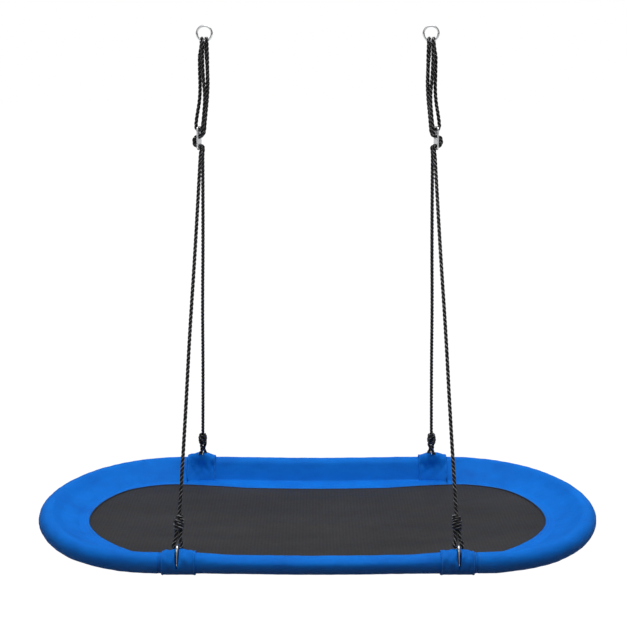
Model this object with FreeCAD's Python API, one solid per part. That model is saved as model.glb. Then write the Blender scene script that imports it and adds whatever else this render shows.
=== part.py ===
"""Saucer nest swing: oval padded rim with a stretched mat, hung by adjustable ropes from two rings.

Frame: millimetres, +X along the length of the seat, +Y away from the front, +Z up.
The origin is midway between the centres of the two rings that hold the swing up, so the seat
lies below it.  Each side hangs on one continuous rope: front eye, front leg, adjuster plate,
over the ring, round the plate's top hole, over the ring again, adjuster plate, rear leg, rear eye.
"""
import FreeCAD
import Part
import math
import os

V = FreeCAD.Vector

# ---- seat plan and section ------------------------------------------------------------------
SEAT_LENGTH = 1524.0          # over the padded rim
SEAT_DEPTH = 848.0            # over the padded rim
RIM_R = 26.0                  # outside of the cover round the padded tube
RIM_Z = -1288.0               # level of the rim tube's centreline, below the rings
STRAIGHT_HALF = 391.0         # half length of the straight long sides
CORNER_R = 320.0              # corner bend of the rim centreline
TIP_IN = 46.0                 # crease of the cover on the long sides: inward of the centreline
END_TIP_IN = 84.0             # crease of the cover round the ends, where the mat pulls it in
TIP_DOWN = 33.4               # crease of the cover: below the centreline
COVER_T = 1.2                 # cover cloth
FLANGE_IN = 107.0             # inner edge of the flat cover strip sewn on the mat
MAT_IN = 95.0                 # mat edge, tucked under the strip
MAT_T = 2.5
MAT_TOP_DOWN = 34.4
WRAP_GAP = 0.3                # between a wrap and the cover it passes through

# ---- rim frame and padding --------------------------------------------------------------------
TUBE_R = 12.7
TUBE_WALL = 1.2
SPIGOT_LEN = 60.0             # swaged end of a bow inside the side tube
JOINT_X = 250.0               # where bow and side tube meet
FOAM_R = 24.2
FOAM_BORE = 13.0

# ---- attachment points ------------------------------------------------------------------------
ATTACH_X = 348.0
NOTCH_HALF = 12.0             # bare stretch of the rim at each carabiner
FOAM_NOTCH_HALF = 15.0
WRAP_HALF = 42.0
WRAP_IN = 26.4
WRAP_OUT = 28.6
SLIT_HALF = 5.5

# ---- carabiner (upright in its own frame, tube centre at the origin) ----------------------------
WIRE_R = 3.5
BEND_R = 17.0
LOW_BEND_Z = 0.5
TOP_BEND_Z = 25.9
GATE_PIN_Z = 5.0
GATE_R = 3.1
GATE_TIP_Z = 25.3
GATE_FOOT_Z = 2.2
PIN_R = 0.9

# ---- rope, rings and adjusters ------------------------------------------------------------------
ROPE_R = 5.0
RING_X = 293.0
RING_R = 19.25                # wire centreline
RING_WIRE_R = 2.75
RING_Z = 0.0
LOOP_Z = -18.5                # level of the ring wire under the rope
LOOP_R = 9.0                  # rope centreline round the ring wire
LOOP_XS = {"outer": (-3.6, -6.6), "inner": (6.6, 3.6)}   # front and rear run of each loop over the ring
LOOP_TAIL = 14.0
STRAND_GAP = 1.2              # a strand's tilted ends stay clear of the next piece of rope
PLATE_Z = -271.0
PLATE_DX = -18.0              # plate centre from the ring's centre, toward the seat end
PLATE_YAW = -8.0              # degrees about the vertical: the plate's front edge points to the seat end
PLATE_T = 4.0
PLATE_HALF_W = 21.5
PLATE_LOW = -28.0
PLATE_HIGH = 33.0
SLOT_R = 6.0
SLOT_HALF = 11.0              # half spacing of the two ropes lying side by side in a slot
SLOT_ZS = (-18.0, 7.0)
EYE_HOLE_Z = 24.0
WEAVE_X = 11.0                # rope centreline from the plate's middle
WEAVE_R = 9.0                 # rope centreline round the plate's bars
WEAVE_OUT = 3.5                # the ropes lean this much away from the plate above it
HOLE_LOOP_X = 8.5             # half width of the loop in the plate's round hole
LEG_TOP_Y = 12.5
LEG_BEND_R = 30.0
WEAVE_TOP = 48.0
EYE_R = 10.2                  # half width of the eye at the rope's centreline
EYE_DROP = 9.0                # rope centreline under the carabiner wire's centre
KNOT_LOW = 79.0
KNOT_TURNS = 4
KNOT_PITCH = 9.3
KNOT_TURN_R = 7.6

TUBE_Y = SEAT_DEPTH / 2 - RIM_R
TUBE_X = SEAT_LENGTH / 2 - RIM_R
KNOT_TOP = KNOT_LOW + KNOT_TURNS * KNOT_PITCH + 0.8
WIRE_TOP_Z = TOP_BEND_Z + BEND_R


def end_arc():
    """Radius of the end arc and the corner's share of the quarter turn, for tangent arcs."""
    u = TUBE_Y - CORNER_R
    v = TUBE_X - STRAIGHT_HALF - CORNER_R
    spread = (u * u + v * v) / (2 * v)
    return CORNER_R + spread, math.degrees(math.acos(u / spread))


END_R, CORNER_TURN = end_arc()


def save(name, shape):
    """Write one piece as its own STEP file after checking that it is sound."""
    shape = shape.removeSplitter()
    assert shape.isValid() and shape.Volume > 0, name
    shape.exportStep("parts/%s.step" % name)
    print("%-26s %3d solid(s) %12.1f mm3" % (name, len(shape.Solids), shape.Volume))


def mirror_x(shape):
    return shape.mirror(V(0, 0, 0), V(1, 0, 0))


def mirror_y(shape):
    return shape.mirror(V(0, 0, 0), V(0, 1, 0))


# ---- rim sections: u runs inward from the tube centre, v runs up ---------------------------------
def teardrop(scale_r, tip_in=TIP_IN):
    """Closed outline of the cover: round the tube, then tangent to the crease below and inside."""
    k = scale_r / RIM_R
    tip = V(tip_in * k, 0, -TIP_DOWN * k)
    lean = math.atan2(tip.z, tip.x)
    open_half = math.acos(scale_r / tip.Length)
    upper = V(scale_r * math.cos(lean + open_half), 0, scale_r * math.sin(lean + open_half))
    lower = V(scale_r * math.cos(lean - open_half), 0, scale_r * math.sin(lean - open_half))
    back = V(-scale_r * math.cos(lean), 0, -scale_r * math.sin(lean))
    edges = [Part.Arc(upper, back, lower).toShape(), Part.makeLine(lower, tip), Part.makeLine(tip, upper)]
    return Part.Face(Part.Wire(edges))


def rectangle(u0, u1, v0, v1):
    corners = [V(u0, 0, v0), V(u1, 0, v0), V(u1, 0, v1), V(u0, 0, v1), V(u0, 0, v0)]
    return Part.Face(Part.makePolygon(corners))


def annulus(outer, inner):
    big = Part.Face(Part.Wire(Part.makeCircle(outer, V(0, 0, 0), V(0, 1, 0))))
    small = Part.Face(Part.Wire(Part.makeCircle(inner, V(0, 0, 0), V(0, 1, 0))))
    return big.cut(small)


def cover_section(tip_in):
    """Cloth skin round the padded tube with the flat strip running in to the mat."""
    half = COVER_T / 2
    strip = rectangle(tip_in - 3.0, FLANGE_IN, -TIP_DOWN - half, -TIP_DOWN + half)
    skin = teardrop(RIM_R, tip_in).fuse(strip)
    return skin.cut(teardrop(RIM_R - COVER_T, tip_in)).removeSplitter()


def as_radial(section, radius):
    """Turn a section (u, v) into radial coordinates about a vertical axis."""
    flipped = section.mirror(V(0, 0, 0), V(1, 0, 0))
    flipped.translate(V(radius, 0, RIM_Z))
    return flipped


def turned(section, radius, centre, start, sweep):
    """Section swept about the vertical axis through centre, from start over sweep degrees."""
    face = as_radial(section, radius)
    face.rotate(V(0, 0, 0), V(0, 0, 1), start)
    body = face.revolve(V(0, 0, 0), V(0, 0, 1), sweep)
    body.translate(centre)
    return body


def straight(section, x0, x1):
    """Section along the front side between x0 and x1."""
    face = section.copy()
    face.rotate(V(0, 0, 0), V(0, 0, 1), 90)
    face.translate(V(x0, -TUBE_Y, RIM_Z))
    return face.extrude(V(x1 - x0, 0, 0))


def right_bow(section, x_front):
    """Section round the whole right end, starting and ending at x_front on the long sides."""
    corner = V(STRAIGHT_HALF, TUBE_Y - CORNER_R, 0)
    lead = straight(section, x_front, STRAIGHT_HALF) if x_front < STRAIGHT_HALF else None
    front = turned(section, CORNER_R, V(corner.x, -corner.y, 0), -90, CORNER_TURN)
    end = turned(section, END_R, V(TUBE_X - END_R, 0, 0), CORNER_TURN - 90, 180 - 2 * CORNER_TURN)
    pieces = [front, end, mirror_y(front)]
    if lead is not None:
        pieces += [lead, mirror_y(lead)]
    body = pieces[0]
    for piece in pieces[1:]:
        body = body.fuse(piece)
    return body


# ---- rope tubes -----------------------------------------------------------------------------------
def cord(name, points, bends):
    """Rope along points, each inner corner rounded; a bend of None follows the shorter run."""
    points = [V(*p) for p in points]
    edges = []
    last = points[0]
    radii = []
    for before, corner, after, bend in zip(points, points[1:], points[2:], bends):
        into = corner - before
        out = after - corner
        half_turn = into.getAngle(out) / 2
        radius = bend or 0.45 * min(into.Length, out.Length) / math.tan(half_turn)
        reach = radius * math.tan(half_turn)
        enter = corner - V(into).normalize() * reach
        leave = corner + V(out).normalize() * reach
        bisector = (V(out).normalize() - V(into).normalize()).normalize()
        middle = corner + bisector * (radius / math.cos(half_turn) - radius)
        if (enter - last).Length > 1e-3:
            edges.append(Part.makeLine(last, enter))
        edges.append(Part.Arc(enter, middle, leave).toShape())
        last = leave
        radii.append(round(radius, 1))
    if (points[-1] - last).Length > 1e-3:
        edges.append(Part.makeLine(last, points[-1]))
    path = Part.Wire(edges)
    direction = edges[0].tangentAt(edges[0].FirstParameter)
    ring = Part.Wire(Part.makeCircle(ROPE_R, points[0], direction))
    tube = path.makePipeShell([ring], True, False)
    ideal = math.pi * ROPE_R ** 2 * path.Length
    print("cord %-22s length %7.1f  bend radii %s  volume ratio %.4f"
          % (name, path.Length, radii or "straight", tube.Volume / ideal))
    assert abs(tube.Volume / ideal - 1) < 0.01, name
    return tube


def plate_point(across, along, z):
    """A point near the left adjuster plate, from its centre: through the plate, along it, up."""
    turn = math.radians(PLATE_YAW)
    return V(-RING_X + PLATE_DX + across * math.cos(turn) - along * math.sin(turn),
             across * math.sin(turn) + along * math.cos(turn), PLATE_Z + z)


ROWS = {"front": -1, "rear": 1}
LEG_TOPS = {row: plate_point(6.3, sign * LEG_TOP_Y, -35.0) for row, sign in ROWS.items()}
LEAN_X = math.degrees(math.atan2(TUBE_Y - LEG_TOP_Y, LEG_TOPS["front"].z - RIM_Z))


def at_front_left(shape):
    """Place something upright in the carabiner's frame at the front left attachment."""
    placed = shape.copy()
    placed.rotate(V(0, 0, 0), V(1, 0, 0), -LEAN_X)
    placed.translate(V(-ATTACH_X, -TUBE_Y, RIM_Z))
    return placed


def hook_top(row):
    """Middle of the carabiner's top bend on the left side, in the front or the rear row."""
    point = at_front_left(Part.Vertex(0, 0, WIRE_TOP_Z)).Point
    return V(point.x, -ROWS[row] * point.y, point.z)


def leg_direction(row):
    return (LEG_TOPS[row] - hook_top(row)).normalize()


def along_leg(row, distance):
    """Point on a left leg, at a distance above the tube centre along the rope."""
    return hook_top(row) + leg_direction(row) * (distance - WIRE_TOP_Z)


def on_leg(shape, row):
    """Place something upright in the rope eye's frame so that its axis runs along a left leg."""
    placed = shape.copy()
    placed.translate(V(0, 0, -WIRE_TOP_Z))
    lean = FreeCAD.Rotation(V(0, 0, 1), leg_direction(row))
    placed.Placement = FreeCAD.Placement(hook_top(row), lean).multiply(placed.Placement)
    return placed


def four_corners(name, shape):
    """Save a front-left piece and its mirror images at the other three attachments."""
    save(name + "_front_left", shape)
    save(name + "_front_right", mirror_x(shape))
    save(name + "_rear_left", mirror_y(shape))
    save(name + "_rear_right", mirror_y(mirror_x(shape)))


def both_sides(name, shape):
    """Save a left piece and its mirror image on the right."""
    save(name + "_left", shape)
    save(name + "_right", mirror_x(shape))


# ---- pieces: rim ------------------------------------------------------------------------------------
def rim_frame():
    """Bent steel tube: two bows with swaged ends plugged into two straight side tubes."""
    tube = annulus(TUBE_R, TUBE_R - TUBE_WALL)
    spigot_r = TUBE_R - TUBE_WALL - 0.2
    spigot = annulus(spigot_r, spigot_r - TUBE_WALL)
    collar = annulus(TUBE_R, spigot_r - TUBE_WALL)
    bow = right_bow(tube, JOINT_X + 6.0)
    for x0, x1, section in ((JOINT_X + 0.2, JOINT_X + 6.0, collar), (JOINT_X - SPIGOT_LEN, JOINT_X + 0.2, spigot)):
        piece = straight(section, x0, x1)
        bow = bow.fuse(piece).fuse(mirror_y(piece))
    side = straight(tube, -JOINT_X, JOINT_X)
    save("frame_bow_right", bow)
    save("frame_bow_left", mirror_x(bow))
    save("frame_side_front", side)
    save("frame_side_back", mirror_y(side))


def rim_foam():
    """Foam sleeves on the tube, left bare where each carabiner grips."""
    section = annulus(FOAM_R, FOAM_BORE)
    inner = ATTACH_X - FOAM_NOTCH_HALF
    side = straight(section, -inner, inner)
    bow = right_bow(section, ATTACH_X + FOAM_NOTCH_HALF)
    save("foam_front", side)
    save("foam_back", mirror_y(side))
    save("foam_right", bow)
    save("foam_left", mirror_x(bow))


def rim_cover():
    """Cloth panels that end at the carabiners: two straight sides and two ends, with strap slots."""
    section = cover_section(TIP_IN)
    strap_way = teardrop(WRAP_OUT + WRAP_GAP).cut(teardrop(WRAP_IN - WRAP_GAP))
    slot = straight(strap_way, ATTACH_X - WRAP_HALF - WRAP_GAP, ATTACH_X + WRAP_HALF + WRAP_GAP)
    x1 = ATTACH_X - NOTCH_HALF
    side = straight(section, -x1, x1).cut(slot).cut(mirror_x(slot))
    save("cover_front", side)
    save("cover_back", mirror_y(side))
    lead = straight(section, ATTACH_X + NOTCH_HALF, STRAIGHT_HALF).cut(slot)
    bow = right_bow(cover_section(END_TIP_IN), STRAIGHT_HALF).fuse(lead).fuse(mirror_y(lead))
    save("cover_right", bow)
    save("cover_left", mirror_x(bow))


def straps():
    """Closed cloth wrap over each bare stretch, slit open where the carabiner comes through."""
    section = teardrop(WRAP_OUT).cut(teardrop(WRAP_IN))
    wrap = straight(section, -ATTACH_X - WRAP_HALF, -ATTACH_X + WRAP_HALF)
    slit = Part.makeBox(2 * SLIT_HALF, 60.0, 60.0, V(-SLIT_HALF, -30.0, 5.0))
    slit.rotate(V(0, 0, 0), V(1, 0, 0), -LEAN_X)
    slit.translate(V(-ATTACH_X, -TUBE_Y, RIM_Z))
    four_corners("wrap", wrap.cut(slit))


def mat():
    """Stretched mat, its edge tucked under the cover's flat strip."""
    c1 = V(STRAIGHT_HALF, TUBE_Y - CORNER_R, 0)
    r1 = CORNER_R - MAT_IN
    r2 = END_R - MAT_IN
    c2 = V(TUBE_X - END_R, 0, 0)
    turn = math.radians(90 - CORNER_TURN)
    start = V(c1.x, c1.y + r1, 0)
    mid1 = c1 + V(math.cos((math.pi / 2 + turn) / 2), math.sin((math.pi / 2 + turn) / 2), 0) * r1
    knee = c1 + V(math.cos(turn), math.sin(turn), 0) * r1
    tip = c2 + V(r2, 0, 0)
    low_knee = V(knee.x, -knee.y, 0)
    right = [Part.Arc(start, mid1, knee).toShape(), Part.Arc(knee, tip, low_knee).toShape(),
             Part.Arc(low_knee, V(mid1.x, -mid1.y, 0), V(start.x, -start.y, 0)).toShape()]
    left = [edge.mirror(V(0, 0, 0), V(1, 0, 0)) for edge in right]
    sides = [Part.makeLine(V(-start.x, y, 0), V(start.x, y, 0)) for y in (start.y, -start.y)]
    outline = Part.Wire(Part.__sortEdges__(right + left + sides))
    face = Part.Face(outline)
    face.translate(V(0, 0, RIM_Z - MAT_TOP_DOWN - MAT_T))
    save("seat_mat", face.extrude(V(0, 0, MAT_T)))


# ---- pieces: carabiners ---------------------------------------------------------------------------------
def carabiner():
    """Oval hook round the tube: closed wire body, gate on the inner side, gate pin."""
    low = V(0, 0, LOW_BEND_Z)
    top = V(0, 0, TOP_BEND_Z)
    side = V(0, BEND_R, 0)
    path = Part.Wire([
        Part.Arc(low + side, low - V(0, 0, BEND_R), low - side).toShape(),
        Part.makeLine(low - side, top - side),
        Part.Arc(top - side, top + V(0, 0, BEND_R), top + side).toShape()])
    ring = Part.Wire(Part.makeCircle(WIRE_R, low + side, V(0, 0, 1)))
    body = path.makePipeShell([ring], True, False)
    tab = Part.makeBox(2.2, 5.0, GATE_PIN_Z + 2.2, V(-1.1, BEND_R - 2.5, 0.0))
    pin_line = V(-WIRE_R, BEND_R, GATE_PIN_Z)
    body = body.fuse(tab).cut(Part.makeCylinder(PIN_R + 0.05, 2 * WIRE_R, pin_line, V(1, 0, 0)))
    gate = Part.makeCylinder(GATE_R, GATE_TIP_Z - GATE_FOOT_Z, V(0, BEND_R, GATE_FOOT_Z))
    gate = gate.cut(Part.makeBox(2.8, 10.0, 8.0, V(-1.4, BEND_R - 5.0, GATE_PIN_Z - 3.8)))
    gate = gate.cut(Part.makeCylinder(PIN_R + 0.2, 2 * WIRE_R, pin_line, V(1, 0, 0)))
    pin = Part.makeCylinder(PIN_R, 2 * WIRE_R - 0.6, pin_line + V(0.3, 0, 0), V(1, 0, 0))
    four_corners("carabiner", at_front_left(body))
    four_corners("gate", at_front_left(gate))
    four_corners("gate_pin", at_front_left(pin))


# ---- pieces: hanging gear ----------------------------------------------------------------------------------
def rings():
    ring = Part.makeTorus(RING_R, RING_WIRE_R, V(-RING_X, 0, RING_Z), V(0, 1, 0))
    both_sides("ring", ring)


def ring_loops():
    """Rope over the ring wire, twice, side by side."""
    low, top = LOOP_Z - LOOP_TAIL, LOOP_Z + LOOP_R
    for name, (front_x, rear_x) in LOOP_XS.items():
        x0, x1 = -RING_X + front_x, -RING_X + rear_x
        points = [(x0, -LOOP_R, low), (x0, -LOOP_R, top), (x1, LOOP_R, top), (x1, LOOP_R, low)]
        both_sides("rope_loop_" + name, cord(name, points, (LOOP_R, LOOP_R)))


def strands():
    """Four rope strands between the ring and the adjuster plate."""
    z0 = LOOP_Z - LOOP_TAIL - STRAND_GAP
    z1 = WEAVE_TOP + STRAND_GAP
    outer, inner = LOOP_XS["outer"], LOOP_XS["inner"]
    runs = {
        "front": ((outer[0], -LOOP_R), ((-4.5, -11.0, -110.0), (1.0, -11.0, -160.0)),
                  plate_point(WEAVE_X + WEAVE_OUT, -SLOT_HALF, z1)),
        "outer": ((outer[1], LOOP_R), ((-14.0, 6.0, -90.0), (-12.8, 4.5, -160.0)),
                  plate_point(-HOLE_LOOP_X, 0, z1)),
        "middle": ((inner[0], -LOOP_R), ((7.0, -5.5, -120.0), (5.2, -2.0, -160.0)),
                   plate_point(HOLE_LOOP_X + WEAVE_OUT, 0, z1)),
        "rear": ((inner[1], LOOP_R), ((6.8, 10.0, -100.0), (6.2, 10.5, -150.0)),
                 plate_point(WEAVE_X + WEAVE_OUT, SLOT_HALF, z1))}
    for place, ((x, y), middle, end) in runs.items():
        points = [(-RING_X + x, y, z0)] + [(-RING_X + dx, dy, z) for dx, dy, z in middle] + [end]
        both_sides("rope_strand_" + place, cord("strand " + place, points, (None, None)))


def adjuster():
    """Three-hole plate standing edge-on: two slots for the paired ropes, one hole for the loop."""
    plate = Part.makeBox(PLATE_T, 2 * PLATE_HALF_W, PLATE_HIGH - PLATE_LOW,
                         V(-PLATE_T / 2, -PLATE_HALF_W, PLATE_LOW))
    corners = [e for e in plate.Edges
               if abs(e.BoundBox.XLength - PLATE_T) < 1e-6 and e.Length < PLATE_T + 1e-6]
    plate = plate.makeFillet(10.0, corners)
    for z in SLOT_ZS:
        for y in (-SLOT_HALF, SLOT_HALF):
            plate = plate.cut(Part.makeCylinder(SLOT_R, 2 * PLATE_T, V(-PLATE_T, y, z), V(1, 0, 0)))
        plate = plate.cut(Part.makeBox(2 * PLATE_T, 2 * SLOT_HALF, 2 * SLOT_R, V(-PLATE_T, -SLOT_HALF, z - SLOT_R)))
    plate = plate.cut(Part.makeCylinder(SLOT_R, 2 * PLATE_T, V(-PLATE_T, 0, EYE_HOLE_Z), V(1, 0, 0)))
    plate = plate.removeSplitter()
    rims = [e for e in plate.Edges if abs(abs(e.BoundBox.XMin) - PLATE_T / 2) < 1e-6 and e.BoundBox.XLength < 1e-6]
    plate = plate.makeChamfer(0.6, rims)
    plate.rotate(V(0, 0, 0), V(0, 0, 1), PLATE_YAW)
    plate.translate(plate_point(0, 0, 0))
    both_sides("adjuster_plate", plate)


def weave():
    """Rope held by the plate: an S through the slots for each leg and a U through the hole."""
    low_z, high_z = SLOT_ZS
    for row, sign in ROWS.items():
        y = sign * SLOT_HALF
        exit_point = LEG_TOPS[row] - leg_direction(row) * 18.0
        points = [plate_point(WEAVE_X + WEAVE_OUT, y, WEAVE_TOP), plate_point(WEAVE_X, y, high_z),
                  plate_point(-WEAVE_X, y, high_z), plate_point(-WEAVE_X, y, low_z),
                  plate_point(10.0, y, low_z), LEG_TOPS[row], exit_point]
        bends = (WEAVE_R, WEAVE_R, WEAVE_R, WEAVE_R, LEG_BEND_R)
        both_sides("rope_weave_" + row, cord("weave " + row, points, bends))
    points = [plate_point(-HOLE_LOOP_X, 0, WEAVE_TOP), plate_point(-HOLE_LOOP_X, 0, EYE_HOLE_Z),
              plate_point(HOLE_LOOP_X, 0, EYE_HOLE_Z),
              plate_point(HOLE_LOOP_X + WEAVE_OUT, 0, WEAVE_TOP)]
    both_sides("rope_plate_loop", cord("plate loop", points, (HOLE_LOOP_X, HOLE_LOOP_X)))


def legs():
    """Taut rope from the adjuster plate down to each knot."""
    for row in ROWS:
        top = LEG_TOPS[row] - leg_direction(row) * 18.3
        both_sides("rope_leg_" + row, cord("leg " + row, [top, along_leg(row, KNOT_TOP + 0.3)], ()))


def knots():
    """Barrel knot of four turns with the eye that hangs in the carabiner."""
    low = WIRE_TOP_Z - EYE_DROP
    points = [(-5.2, 0, KNOT_LOW + 6.0), (-EYE_R, 0, KNOT_LOW - 14.0), (-EYE_R, 0, low),
              (EYE_R, 0, low), (EYE_R, 0, KNOT_LOW - 14.0), (5.2, 0, KNOT_LOW + 6.0)]
    knot = cord("eye", points, (None, EYE_R, EYE_R, None))
    knot = knot.fuse(Part.makeCylinder(KNOT_TURN_R + 1.5, KNOT_TOP - KNOT_LOW, V(0, 0, KNOT_LOW)))
    for turn in range(KNOT_TURNS):
        centre = V(0, 0, KNOT_LOW + 5.3 + turn * KNOT_PITCH)
        knot = knot.fuse(Part.makeTorus(KNOT_TURN_R, ROPE_R, centre, V(0, 0, 1)))
    for row in ROWS:
        both_sides("rope_knot_" + row, on_leg(knot, row))


os.makedirs("parts", exist_ok=True)
print("end arc radius %.1f, corner turn %.2f deg, leg lean %.2f deg" % (END_R, CORNER_TURN, LEAN_X))
for build in (rim_frame, rim_foam, rim_cover, straps, mat, carabiner, rings, ring_loops,
              strands, adjuster, weave, legs, knots):
    build()
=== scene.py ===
import math

import bmesh
import bpy
import numpy as np
from mathutils import Matrix, Vector


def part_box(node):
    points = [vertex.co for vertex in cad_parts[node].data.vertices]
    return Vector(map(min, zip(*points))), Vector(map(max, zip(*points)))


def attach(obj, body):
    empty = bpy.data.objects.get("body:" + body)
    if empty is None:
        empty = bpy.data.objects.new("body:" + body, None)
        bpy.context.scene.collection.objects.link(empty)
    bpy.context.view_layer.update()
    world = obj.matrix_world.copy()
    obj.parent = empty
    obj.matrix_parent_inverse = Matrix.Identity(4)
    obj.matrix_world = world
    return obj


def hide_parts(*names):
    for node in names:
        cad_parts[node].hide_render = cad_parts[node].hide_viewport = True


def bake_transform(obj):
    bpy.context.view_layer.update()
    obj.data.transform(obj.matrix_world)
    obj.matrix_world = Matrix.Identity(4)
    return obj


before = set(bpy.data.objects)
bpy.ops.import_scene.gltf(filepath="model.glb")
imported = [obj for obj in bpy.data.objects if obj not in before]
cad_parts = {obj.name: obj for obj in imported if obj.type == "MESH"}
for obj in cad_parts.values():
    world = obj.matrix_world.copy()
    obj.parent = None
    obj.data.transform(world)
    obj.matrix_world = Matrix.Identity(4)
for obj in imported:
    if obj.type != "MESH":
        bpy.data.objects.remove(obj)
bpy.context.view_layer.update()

MM = 0.001

# ---- the rim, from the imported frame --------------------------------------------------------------
side_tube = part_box("frame_side_front")
whole_rim = (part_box("cover_left")[0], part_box("cover_right")[1])
TUBE_Y = -(side_tube[0].y + side_tube[1].y) / 2
RIM_Z = (side_tube[0].z + side_tube[1].z) / 2
RIM_R = -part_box("cover_front")[0].y - TUBE_Y
TUBE_X = whole_rim[1].x - RIM_R
STRAIGHT_HALF, CORNER_R = 0.391, 0.320
TIP_IN, END_TIP_IN, TIP_DOWN = 0.046, 0.084, 0.0334
FLANGE_IN, MAT_IN = 0.107, 0.095
ATTACH_X = -(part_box("carabiner_front_left")[0].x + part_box("carabiner_front_left")[1].x) / 2


# ---- small helpers -------------------------------------------------------------------------------
def smooth(t):
    """0 to 1 with flat ends, for t from 0 to 1."""
    t = np.clip(t, 0.0, 1.0)
    return t * t * (3 - 2 * t)


def between(value, low, high):
    """0 below low, 1 above high, smooth in between."""
    return smooth((np.asarray(value, float) - low) / (high - low))


class Ripples:
    """A repeatable sum of plane waves over two coordinates, about -1 to 1."""

    def __init__(self, seed, wave_a, wave_b, count=9):
        draw = np.random.default_rng(seed)
        self.ka = 2 * math.pi / wave_a * draw.uniform(0.5, 1.6, count) * draw.choice([-1, 1], count)
        self.kb = 2 * math.pi / wave_b * draw.uniform(0.5, 1.6, count)
        self.phase = draw.uniform(0, 2 * math.pi, count)

    def at(self, a, b):
        waves = np.sin(np.multiply.outer(a, self.ka) + np.multiply.outer(b, self.kb) + self.phase)
        return waves.sum(-1) / math.sqrt(len(self.phase))


def mesh_object(name, points, faces, uv=None, material=None, flat=False):
    """A new mesh object in the row frame; uv gives one pair per point."""
    data = bpy.data.meshes.new(name)
    data.from_pydata([tuple(p) for p in points], [], [tuple(f) for f in faces])
    data.validate()
    if uv is not None:
        layer = data.uv_layers.new(name="lay")
        corner = np.zeros(len(data.loops), np.int32)
        data.loops.foreach_get("vertex_index", corner)
        layer.data.foreach_set("uv", np.asarray(uv, np.float32)[corner].ravel())
    if not flat:
        data.polygons.foreach_set("use_smooth", [True] * len(data.polygons))
    data.update()
    made = bpy.data.objects.new(name, data)
    bpy.context.scene.collection.objects.link(made)
    if material:
        data.materials.append(material)
    return made


def run_of(points):
    """How far along a line of points each of them lies."""
    return np.concatenate([[0], np.cumsum(np.linalg.norm(np.diff(points, axis=0), axis=1))])


def outline_normals(section):
    """Unit normals out of a closed outline that runs counter-clockwise."""
    step = np.roll(section, -1, axis=0) - np.roll(section, 1, axis=0)
    out = np.stack([step[:, 1], -step[:, 0]], axis=1)
    return out / np.linalg.norm(out, axis=1)[:, None]


def ring_quads(n, i, j, first=0):
    """The faces between ring i and ring j, of n points each."""
    quads = []
    for k in range(n):
        m = (k + 1) % n
        quads.append((first + i * n + k, first + i * n + m, first + j * n + m, first + j * n + k))
    return quads


# ---- camera --------------------------------------------------------------------------------------
eye = bpy.data.cameras.new("photo_camera")
eye.sensor_width = 36.0
eye.lens = 76.26
eye.clip_start, eye.clip_end = 0.1, 200.0
camera = bpy.data.objects.new("photo_camera", eye)
camera.location = (-0.0109, -3.5058, -0.0518)
camera.rotation_euler = (math.radians(90.0) - 0.193, 0.0, 0.0)
bpy.context.scene.collection.objects.link(camera)
bpy.context.scene.camera = camera


# ---- materials -----------------------------------------------------------------------------------
class Paint:
    """One node material under construction."""

    def __init__(self, name, base=(0.5, 0.5, 0.5), roughness=0.5, metallic=0.0):
        self.material = bpy.data.materials.new(name)
        self.material.use_nodes = True
        self.tree = self.material.node_tree
        self.shader = self.tree.nodes["Principled BSDF"]
        self.set("Base Color", (*base, 1.0))
        self.set("Roughness", roughness)
        self.set("Metallic", metallic)

    def set(self, socket, value):
        if isinstance(value, bpy.types.NodeSocket):
            self.tree.links.new(value, self.shader.inputs[socket])
        else:
            self.shader.inputs[socket].default_value = value

    def node(self, kind, inputs=None, **settings):
        made = self.tree.nodes.new("ShaderNode" + kind)
        for key, value in settings.items():
            setattr(made, key, value)
        for key, value in (inputs or {}).items():
            if isinstance(value, bpy.types.NodeSocket):
                self.tree.links.new(value, made.inputs[key])
            else:
                made.inputs[key].default_value = value
        return made

    def maths(self, operation, a, b=0.0, c=0.0):
        return self.node("Math", {0: a, 1: b, 2: c}, operation=operation).outputs[0]

    def place(self):
        return self.node("TexCoord").outputs["Object"]

    def uv(self):
        """Two sockets, the lay map's length along and its place across."""
        lay = self.node("UVMap", uv_map="lay").outputs[0]
        split = self.node("SeparateXYZ", {0: lay})
        return split.outputs[0], split.outputs[1]

    def noise(self, scale, detail=4.0, roughness=0.55, vector=None, stretch=None):
        vector = vector or self.place()
        if stretch:
            vector = self.node("Mapping", {"Vector": vector, "Scale": stretch}).outputs[0]
        settings = {"Vector": vector, "Scale": scale, "Detail": detail, "Roughness": roughness}
        return self.node("TexNoise", settings).outputs[0]

    def ramp(self, factor, stops):
        made = self.node("ValToRGB", {0: factor})
        bar = made.color_ramp
        while len(bar.elements) < len(stops):
            bar.elements.new(0.5)
        for element, (at, colour) in zip(bar.elements, stops):
            element.position = at
            element.color = (*colour, 1.0) if len(colour) == 3 else colour
        return made.outputs[0]

    def mix(self, factor, a, b, kind="MIX"):
        made = self.node("Mix", data_type="RGBA", blend_type=kind)
        for index, value in ((0, factor), (6, a), (7, b)):
            if isinstance(value, bpy.types.NodeSocket):
                self.tree.links.new(value, made.inputs[index])
            else:
                made.inputs[index].default_value = value if index == 0 else (*value, 1.0)
        return made.outputs[2]

    def wave(self, along, period, turn=0.0):
        """0 to 1, a sine of the given period in the units of along."""
        angle = self.maths("MULTIPLY_ADD", along, 2 * math.pi / period, turn)
        return self.maths("MULTIPLY_ADD", self.maths("SINE", angle), 0.5, 0.5)

    def bump(self, height, distance, strength=1.0, onto=None):
        inputs = {"Height": height, "Distance": distance, "Strength": strength}
        if onto:
            inputs["Normal"] = onto
        return self.node("Bump", inputs).outputs[0]


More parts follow.
